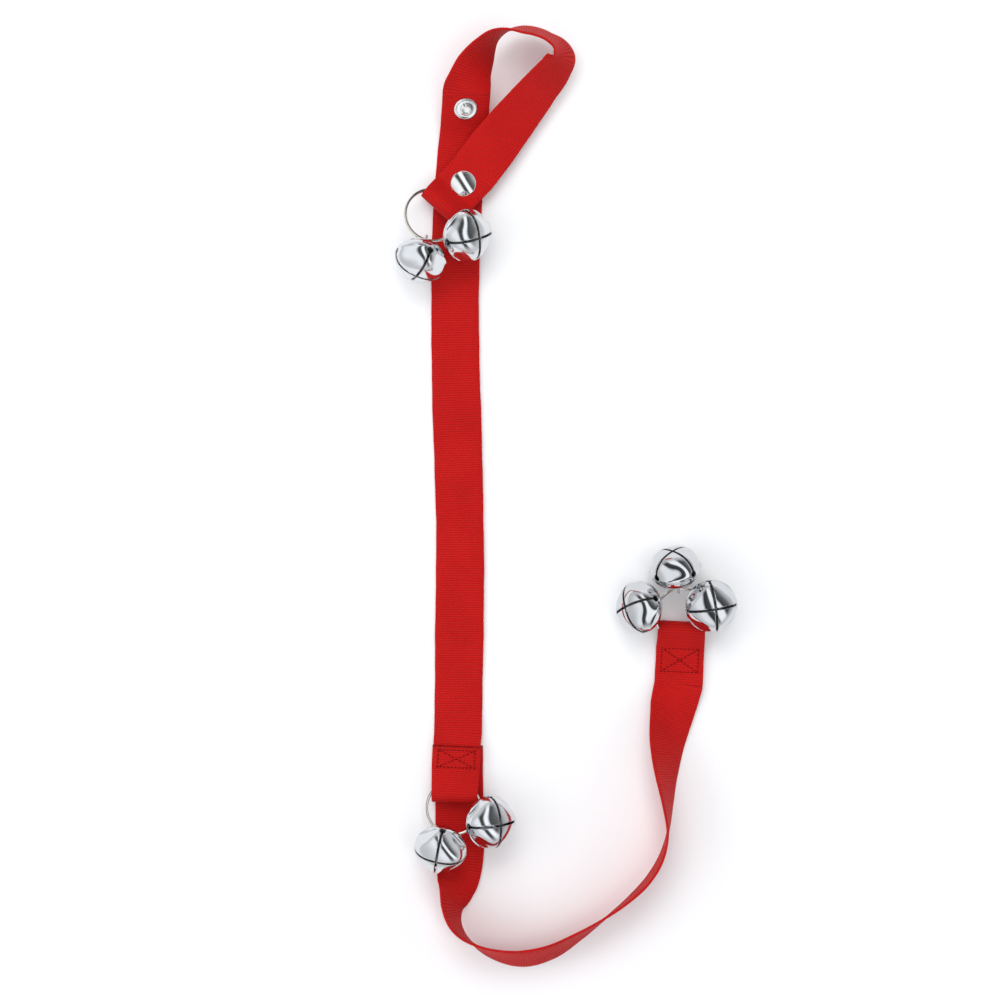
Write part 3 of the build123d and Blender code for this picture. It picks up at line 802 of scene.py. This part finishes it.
def thread_tree(material):
    """Geometry nodes that lay one stitch after another along the seam lines."""
    tree = bpy.data.node_groups.new("stitches_on_seam", "GeometryNodeTree")
    face = tree.interface
    face.new_socket("Geometry", in_out="INPUT", socket_type="NodeSocketGeometry")
    for label in ("Stitch Length", "Thread Radius"):
        face.new_socket(label, in_out="INPUT", socket_type="NodeSocketFloat")
    face.new_socket("Seed", in_out="INPUT", socket_type="NodeSocketInt")
    face.new_socket("Geometry", in_out="OUTPUT", socket_type="NodeSocketGeometry")
    given = node(tree, "NodeGroupInput").outputs
    line = node(tree, "GeometryNodeMeshToCurve", {"Mesh": given["Geometry"]}).outputs[0]
    points = node(tree, "GeometryNodeCurveToPoints",
                  {"Curve": line, "Length": given["Stitch Length"]}, mode="LENGTH")
    aligned = node(tree, "FunctionNodeAlignRotationToVector",
                   {"Vector": points.outputs["Tangent"]}, axis="X").outputs[0]
    grain = node(tree, "GeometryNodeMeshUVSphere", {"Segments": 8, "Rings": 6, "Radius": 1.0})
    wobble = node(tree, "FunctionNodeRandomValue", {2: 0.88, 3: 1.08, "Seed": given["Seed"]},
                  data_type="FLOAT").outputs[1]
    long = maths(tree, "MULTIPLY", given["Stitch Length"], 0.43)
    shape = node(tree, "ShaderNodeCombineXYZ", {
        0: maths(tree, "MULTIPLY", long, wobble), 1: given["Thread Radius"],
        2: maths(tree, "MULTIPLY", given["Thread Radius"], 0.8)}).outputs[0]
    laid = node(tree, "GeometryNodeInstanceOnPoints", {
        "Points": points.outputs["Points"], "Instance": grain.outputs[0],
        "Rotation": aligned, "Scale": shape}).outputs[0]
    real = node(tree, "GeometryNodeRealizeInstances", {0: laid}).outputs[0]
    smooth = node(tree, "GeometryNodeSetShadeSmooth", {0: real}).outputs[0]
    painted = node(tree, "GeometryNodeSetMaterial", {"Geometry": smooth}).outputs[0]
    tree.nodes[-1].inputs["Material"].default_value = material
    result = node(tree, "NodeGroupOutput")
    tree.links.new(painted, result.inputs[0])
    return tree


def grown(name, seam, tree, numbers):
    """Run a node tree on a seam mesh and return the result as a plain piece."""
    modifier = seam.modifiers.new("stitches", "NODES")
    modifier.node_group = tree
    for item in tree.interface.items_tree:
        if item.in_out == "INPUT" and item.name in numbers:
            modifier[item.identifier] = numbers[item.name]
    evaluated = seam.evaluated_get(bpy.context.evaluated_depsgraph_get())
    mesh = bpy.data.meshes.new_from_object(evaluated)
    if not mesh.polygons:
        raise RuntimeError(f"{name} came out empty")
    mesh.name = name
    piece = bpy.data.objects.new(name, mesh)
    bpy.context.collection.objects.link(piece)
    seam.modifiers.remove(modifier)
    bpy.data.objects.remove(seam)
    return piece


class BELLSTRAP_OT_stitching(bpy.types.Operator):
    """Sew the two boxes with their crosses."""

    bl_idname = "bell_strap.stitching"
    bl_label = "Box stitching"

    def execute(self, context):
        sizes = context.scene.bell_strap_stitching
        thread = shared_material("red_thread", thread_material, sizes)
        tree = thread_tree(thread)
        for number, (label, box) in enumerate(STITCH_BOXES.items()):
            x, near = sizes.box_width / 2, -box["drop"] * MM
            far = near - box["length"] * MM
            corners = [(-x, near), (x, near), (x, far), (-x, far)]
            points, edges = [], []
            for level in box["faces"]:
                base = len(points)
                points += [(*corner, level * MM) for corner in corners]
                edges += [(base + a, base + b) for a, b in
                          ((0, 1), (1, 2), (2, 3), (3, 0))]
                cross = len(points)
                points += [(*corners[i], level * MM) for i in (0, 2, 1, 3)]
                edges += [(cross, cross + 1), (cross + 2, cross + 3)]
            mesh = bpy.data.meshes.new("seam")
            mesh.from_pydata(carry(end_place(box["end"]), points).tolist(), edges, [])
            seam = bpy.data.objects.new("seam", mesh)
            context.collection.objects.link(seam)
            piece = grown(f"{label}_box_stitches", seam, tree, {
                "Stitch Length": sizes.stitch, "Thread Radius": sizes.thread, "Seed": 7 + number})
            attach(piece, box["body"])
            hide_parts(f"{label}_stitching")
        return {"FINISHED"}


class BELLSTRAP_OT_rings(bpy.types.Operator):
    """Wind the three split rings from flat wire."""

    bl_idname = "bell_strap.rings"
    bl_label = "Split rings"

    def execute(self, context):
        sizes = context.scene.bell_strap_rings
        plating = shared_material("ring_nickel", plated_material, "ring_nickel", sizes.colour,
                                  sizes.worn_colour, 0.08, 0.22, 0.00003, 260.0)
        pitch = sizes.wire_height + sizes.gap
        angles = np.linspace(WIRE_END, 720 - WIRE_END, 400)
        rise = np.clip((angles - 360 + WIRE_STEP) / (2 * WIRE_STEP), 0, 1)
        level = pitch * (rise * rise * (3 - 2 * rise) - 0.5)
        turn = np.radians(angles - 90)
        path = np.column_stack([sizes.radius * np.cos(turn), sizes.radius * np.sin(turn), level])
        for label, ring in RINGS.items():
            place = ring_place(ring)
            piece = tube(f"{label}_split_ring", carry(place, path), sizes.wire_width / 2, plating,
                         sides=16, flat=sizes.wire_height / sizes.wire_width,
                         up=place.col[2].to_3d())
            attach(piece, f"{label}_ring")
            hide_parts(f"{label}_ring")
        return {"FINISHED"}


def petal_rows(sizes):
    """Angles from the widest line down to the petals' tips, closer together round the slit hole."""
    tip = sizes.slit / math.sqrt(2)
    last = math.acos((tip / sizes.radius) ** (sizes.squareness / 2))
    lowest = math.asin(min(1, 2 * (SLIT_HOLE_DROP + sizes.hole) / sizes.petals))
    hole = np.linspace(0, lowest, HOLE_ROWS)
    return np.concatenate([hole, np.linspace(lowest, last, PETAL_ROWS)[1:]])


def shell_mesh(name, sizes, turn, matrix, material):
    """Four pressed petals with crossed slits that end in round holes, under a domed crown."""
    power = 2 / sizes.squareness
    down = petal_rows(sizes)
    up = np.linspace(math.acos(SHANK_HOLE / sizes.radius), 0, CROWN_ROWS)[:-1]
    hole_rows = np.array([-SLIT_HOLE_DROP + sizes.hole * math.cos(a)
                          for a in np.linspace(0, math.pi, 15)])
    levels, radii = [], []
    for angle in up:
        levels.append(sizes.crown * math.sin(angle))
        radii.append(sizes.radius * math.cos(angle))
    for angle in down:
        levels.append(-sizes.petals * math.sin(angle) ** power)
        radii.append(sizes.radius * max(math.cos(angle), 0) ** power)
    levels, radii = np.array(levels), np.array(radii)
    fine = np.unique(np.round(np.concatenate([levels, hole_rows]), 7))[::-1]
    order = np.argsort(levels)
    rho = np.interp(fine, levels[order], radii[order])
    rows = len(fine)
    lift = fine + SLIT_HOLE_DROP
    half_hole = np.sqrt(np.clip(sizes.hole ** 2 - lift ** 2, 0, None))
    half_gap = np.where(lift > 0, half_hole, np.maximum(half_hole, sizes.slit / 2))
    half_gap = np.where(half_gap < 1e-6, 0, half_gap)
    offset = np.arcsin(np.clip(half_gap / rho, 0, math.sin(math.pi / 4)))
    share = np.linspace(0, 1, PETAL_COLUMNS)
    depth = np.clip(-fine / sizes.petals, 0, 1)
    press = sizes.flatness * np.sin(np.pi * np.clip(depth * 0.98, 0, 1) ** 0.7) ** 0.8
    points, faces, wear = [], [], []
    for petal in range(4):
        base = len(points)
        start = math.radians(turn + petal * 90)
        for row in range(rows):
            angles = start + offset[row] + share * (math.pi / 2 - 2 * offset[row])
            lobes = (1 - np.cos(4 * (angles - start))) / 2
            radius = rho[row] * (1 - press[row] * lobes)
            for angle, reach, s in zip(angles, radius, share):
                points.append((reach * math.cos(angle), reach * math.sin(angle), fine[row]))
                edge = min(s, 1 - s) * (math.pi / 2) * rho[row]
                wear.append(max(0.0, 1 - edge / WORN_EDGE) if half_gap[row] > 0 else 0.0)
        faces += (grid_faces(rows, PETAL_COLUMNS, False)[:, ::-1] + base).tolist()
    piece = new_piece(name, points, faces, material, sharp=40.0, values={"wear": wear})
    weld = piece.modifiers.new("weld", "WELD")
    weld.merge_threshold = WELD
    wall = piece.modifiers.new("wall", "SOLIDIFY")
    wall.thickness, wall.offset = sizes.wall, -1
    bevel = piece.modifiers.new("edges", "BEVEL")
    bevel.width, bevel.segments, bevel.limit_method = EDGE_ROUND, 2, "ANGLE"
    bevel.angle_limit = math.radians(50)
    mesh = bpy.data.meshes.new_from_object(
        piece.evaluated_get(bpy.context.evaluated_depsgraph_get()))
    piece.modifiers.clear()
    piece.data = mesh
    mesh.name = name
    mesh.transform(matrix)
    return piece


class BELLSTRAP_OT_bells(bpy.types.Operator):
    """Press the seven bells, with their shanks and pellets."""

    bl_idname = "bell_strap.bells"
    bl_label = "Bells"

    def execute(self, context):
        sizes = context.scene.bell_strap_bells
        satin = shared_material("bell_satin_nickel", plated_material, "bell_satin_nickel",
                                sizes.colour, sizes.worn_colour, 0.10, 0.20, 0.00002, 45.0)
        mirror = shared_material("bell_mirror_nickel", plated_material, "bell_mirror_nickel",
                                 sizes.mirror_colour, sizes.worn_colour, 0.02, 0.08, 0.00004,
                                 55.0)
        steel = shared_material("pellet_steel", plated_material, "pellet_steel",
                                sizes.pellet_colour, sizes.pellet_worn_colour, 0.3, 0.5)
        for number, bell in enumerate(BELLS, start=1):
            place = bell_place(bell)
            plating = mirror if bell["ring"] is END_RING else satin
            shell = shell_mesh(f"bell_{number}_petals", sizes, bell["turn"], place, plating)
            wire = tube(f"bell_{number}_loop", carry(place, shank_path(sizes)), sizes.wire,
                        plating)
            for piece, part in ((shell, "shell"), (wire, "shank")):
                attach(piece, f"bell_{number}")
                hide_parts(f"bell_{number}_{part}")
            finish_node(f"bell_{number}_pellet", steel)
        return {"FINISHED"}


def shank_path(sizes):
    """Wire of a shank: foot, leg, round the loop, leg and foot."""
    loop, leg, foot, level, bend_radius = 2.15 * MM, 0.7 * MM, 3.2 * MM, 7.7 * MM, 0.7 * MM
    lowest = math.acos(leg / loop)
    arc = [(loop * math.cos(a), 0, RING_TO_BELL + loop * math.sin(a))
           for a in np.linspace(-lowest, math.pi + lowest, 48)]
    bend = [(leg + bend_radius * (1 - math.cos(a)), 0, level + bend_radius * (1 - math.sin(a)))
            for a in np.linspace(math.pi / 2, 0, 7)]
    right = [(foot, 0, level), *bend]
    left = [(-x, y, z) for x, y, z in right[::-1]]
    return np.array([*right, *arc, *left])


class BELLSTRAP_OT_snap(bpy.types.Operator):
    """Turn the snap's cap, socket and the two studs."""

    bl_idname = "bell_strap.snap"
    bl_label = "Snap fastener"

    def execute(self, context):
        sizes, nickel = context.scene.bell_strap_snap, snap_plating()
        layer = context.scene.bell_strap_webbing.thickness
        place = snap_place()
        foot = 2 * layer
        dome_radius = (sizes.cap_radius ** 2 + sizes.cap_rise ** 2) / (2 * sizes.cap_rise)
        reach = math.asin(sizes.cap_radius / dome_radius)
        dome = [(dome_radius * math.sin(a), foot + sizes.cap_rise - dome_radius
                 + dome_radius * math.cos(a)) for a in np.linspace(0, reach * 0.97, 26)]
        rim = [(sizes.cap_radius + 0.05 * MM, foot + 0.28 * MM),
               (sizes.cap_radius, foot - 0.05 * MM), (sizes.cap_radius - 0.6 * MM, foot),
               (0, foot)]
        cap = lathe("snap_cap_dome", [*dome, *rounded(rim[:3], 0.1 * MM), rim[3]], place, nickel)
        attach(cap, "loop_tail")
        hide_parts("snap_cap")
        flange, well = 0.5 * MM, 2.1 * MM
        head = flange + sizes.head_height
        rise = sizes.head_radius - 0.3 * MM
        stud = [(0, 0), (sizes.stud_radius, 0), (sizes.stud_radius, flange),
                (sizes.stud_radius - 0.7 * MM, flange + 0.12 * MM),
                (sizes.stud_radius - 1.4 * MM, flange - 0.1 * MM), (rise, flange),
                (rise, flange + 0.7 * MM), (sizes.head_radius, flange + 1.2 * MM),
                (sizes.head_radius, head - 0.4 * MM), (sizes.head_radius - 0.5 * MM, head),
                (well, head), (well, flange + 0.6 * MM), (0, flange + 0.6 * MM)]
        stud = rounded([(r, z + layer / 2) for r, z in stud], 0.2 * MM)
        closed = end_place(TOP_END)
        closed.translation = Vector((place.translation.x, place.translation.y, layer / 2))
        spare = strap_place(hermite(UPPER_ROUTE), SPARE_STUD_AT)
        for name, where, part in (("closed_stud", closed, "snap_stud"),
                                  ("spare_stud_ring", spare, "spare_stud")):
            piece = lathe(name, stud, where, nickel)
            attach(piece, "main_strap")
            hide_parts(part)
        mouth, wide = 3.6 * MM, 6.0 * MM
        floor = flange + layer + 0.3 * MM - TAIL_LEVEL
        socket = [(mouth, floor), (wide - 0.6 * MM, floor), (wide, floor + 0.6 * MM), (wide, 0),
                  (mouth + 0.7 * MM, 0), (mouth + 0.7 * MM, floor + 0.8 * MM),
                  (mouth, floor + 0.8 * MM)]
        piece = lathe("socket_ring", rounded(socket, 0.2 * MM), place, nickel)
        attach(piece, "loop_tail")
        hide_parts("snap_socket")
        for name in ("snap_socket_spring", "snap_stud_post", "spare_stud_post"):
            finish_node(name, nickel)
        return {"FINISHED"}


def softbox(name, where, target, wide, long, power):
    """An area light that faces a point. The metal reflects the room in its place."""
    data = bpy.data.lights.new(name, "AREA")
    data.shape, data.size, data.size_y = "RECTANGLE", wide, long
    data.energy = power
    lamp = bpy.data.objects.new(name, data)
    lamp.visible_glossy = False
    lamp.location = where
    lamp.rotation_euler = (Vector(where) - Vector(target)).to_track_quat("Z", "Y").to_euler()
    bpy.context.collection.objects.link(lamp)


def studio_room(brightness):
    """A pale room whose ceiling has soft white panels and dark gaps for the metal to reflect."""
    room = bpy.data.worlds.new("studio_room")
    room.use_nodes = True
    tree = room.node_tree
    split = node(tree, "ShaderNodeSeparateXYZ",
                 {0: node(tree, "ShaderNodeTexCoord").outputs["Generated"]})
    slant = maths(tree, "ADD", maths(tree, "MULTIPLY", split.outputs[0], 0.85),
                  maths(tree, "MULTIPLY", split.outputs[1], 0.53))
    panels = node(tree, "ShaderNodeValToRGB", {0: ramp(tree, slant, -1.0, 1.0)})
    while len(panels.color_ramp.elements) < len(CEILING_STOPS):
        panels.color_ramp.elements.new(0.5)
    for element, (place, level) in zip(panels.color_ramp.elements, CEILING_STOPS):
        element.position, element.color = place, (level * 0.94, level * 0.97, level, 1)
    high = ramp(tree, split.outputs[2], 0.12, 0.5)
    colour = mixed(tree, high, (0.8, 0.81, 0.83, 1), panels.outputs[0])
    tree.links.new(colour, tree.nodes["Background"].inputs[0])
    tree.nodes["Background"].inputs[1].default_value = brightness
    return room


class BELLSTRAP_OT_stage(bpy.types.Operator):
    """Lay the white board and set the light and the camera."""

    bl_idname = "bell_strap.stage"
    bl_label = "Stage"

    def execute(self, context):
        sizes = context.scene.bell_strap_stage
        low, high = CAD_BOX
        middle = Vector(((low.x + high.x) / 2, (low.y + high.y) / 2, 0))
        reach = 6.0
        level = min(low.z, 0.0) - 0.0001
        corners = [(-reach, -reach, level), (reach, -reach, level), (reach, reach, level),
                   (-reach, reach, level)]
        floor = new_piece("white_floor", corners, [(0, 1, 2, 3)],
                          floor_material(sizes.floor_colour))
        softbox("key_softbox", (-0.25, 1.0, 1.6), middle, 1.6, 0.8, sizes.light)
        softbox("overhead_softbox", (0.30, -0.15, 2.2), middle, 0.7, 1.5, sizes.light * 0.55)
        softbox("left_softbox", (-1.5, -0.3, 1.1), middle, 1.6, 0.6, sizes.light * 0.4)
        softbox("right_softbox", (1.6, 0.2, 0.9), middle, 1.2, 0.5, sizes.light * 0.25)
        context.scene.world = studio_room(sizes.world)
        context.scene.view_settings.view_transform = "Standard"
        data = bpy.data.cameras.new("camera")
        data.lens, data.sensor_width, data.clip_end = sizes.lens, 36, 20
        camera = bpy.data.objects.new("camera", data)
        camera.location = (sizes.camera_x, sizes.camera_y, sizes.camera_height)
        context.collection.objects.link(camera)
        context.scene.camera = camera
        return {"FINISHED"}


class BELLSTRAP_PT_panel(bpy.types.Panel):
    """Lists the strap's sizes and the steps that build it."""

    bl_idname = "BELLSTRAP_PT_panel"
    bl_label = "Bell Strap"
    bl_space_type = "VIEW_3D"
    bl_region_type = "UI"
    bl_category = "Bell Strap"

    def draw(self, context):
        for attribute_name, group, operator in STEPS:
            box = self.layout.box()
            box.operator(operator.bl_idname)
            for setting in group.__annotations__:
                box.prop(getattr(context.scene, attribute_name), setting)


STEPS = [
    ("bell_strap_webbing", BellStrapWebbing, BELLSTRAP_OT_webbing),
    ("bell_strap_stitching", BellStrapStitching, BELLSTRAP_OT_stitching),
    ("bell_strap_rings", BellStrapRings, BELLSTRAP_OT_rings),
    ("bell_strap_bells", BellStrapBells, BELLSTRAP_OT_bells),
    ("bell_strap_snap", BellStrapSnap, BELLSTRAP_OT_snap),
    ("bell_strap_stage", BellStrapStage, BELLSTRAP_OT_stage),
]


def register():
    """Register the settings, steps and panel."""
    for attribute_name, group, operator in STEPS:
        bpy.utils.register_class(group)
        bpy.utils.register_class(operator)
        setattr(bpy.types.Scene, attribute_name, PointerProperty(type=group))
    bpy.utils.register_class(BELLSTRAP_PT_panel)


def unregister():
    """Remove them again."""
    bpy.utils.unregister_class(BELLSTRAP_PT_panel)
    for attribute_name, group, operator in reversed(STEPS):
        delattr(bpy.types.Scene, attribute_name)
        bpy.utils.unregister_class(operator)
        bpy.utils.unregister_class(group)


def main():
    """Build the whole strap."""
    register()
    bpy.ops.bell_strap.webbing()
    bpy.ops.bell_strap.stitching()
    bpy.ops.bell_strap.rings()
    bpy.ops.bell_strap.bells()
    bpy.ops.bell_strap.snap()
    bpy.ops.bell_strap.stage()


if __name__ == "__main__":
    main()
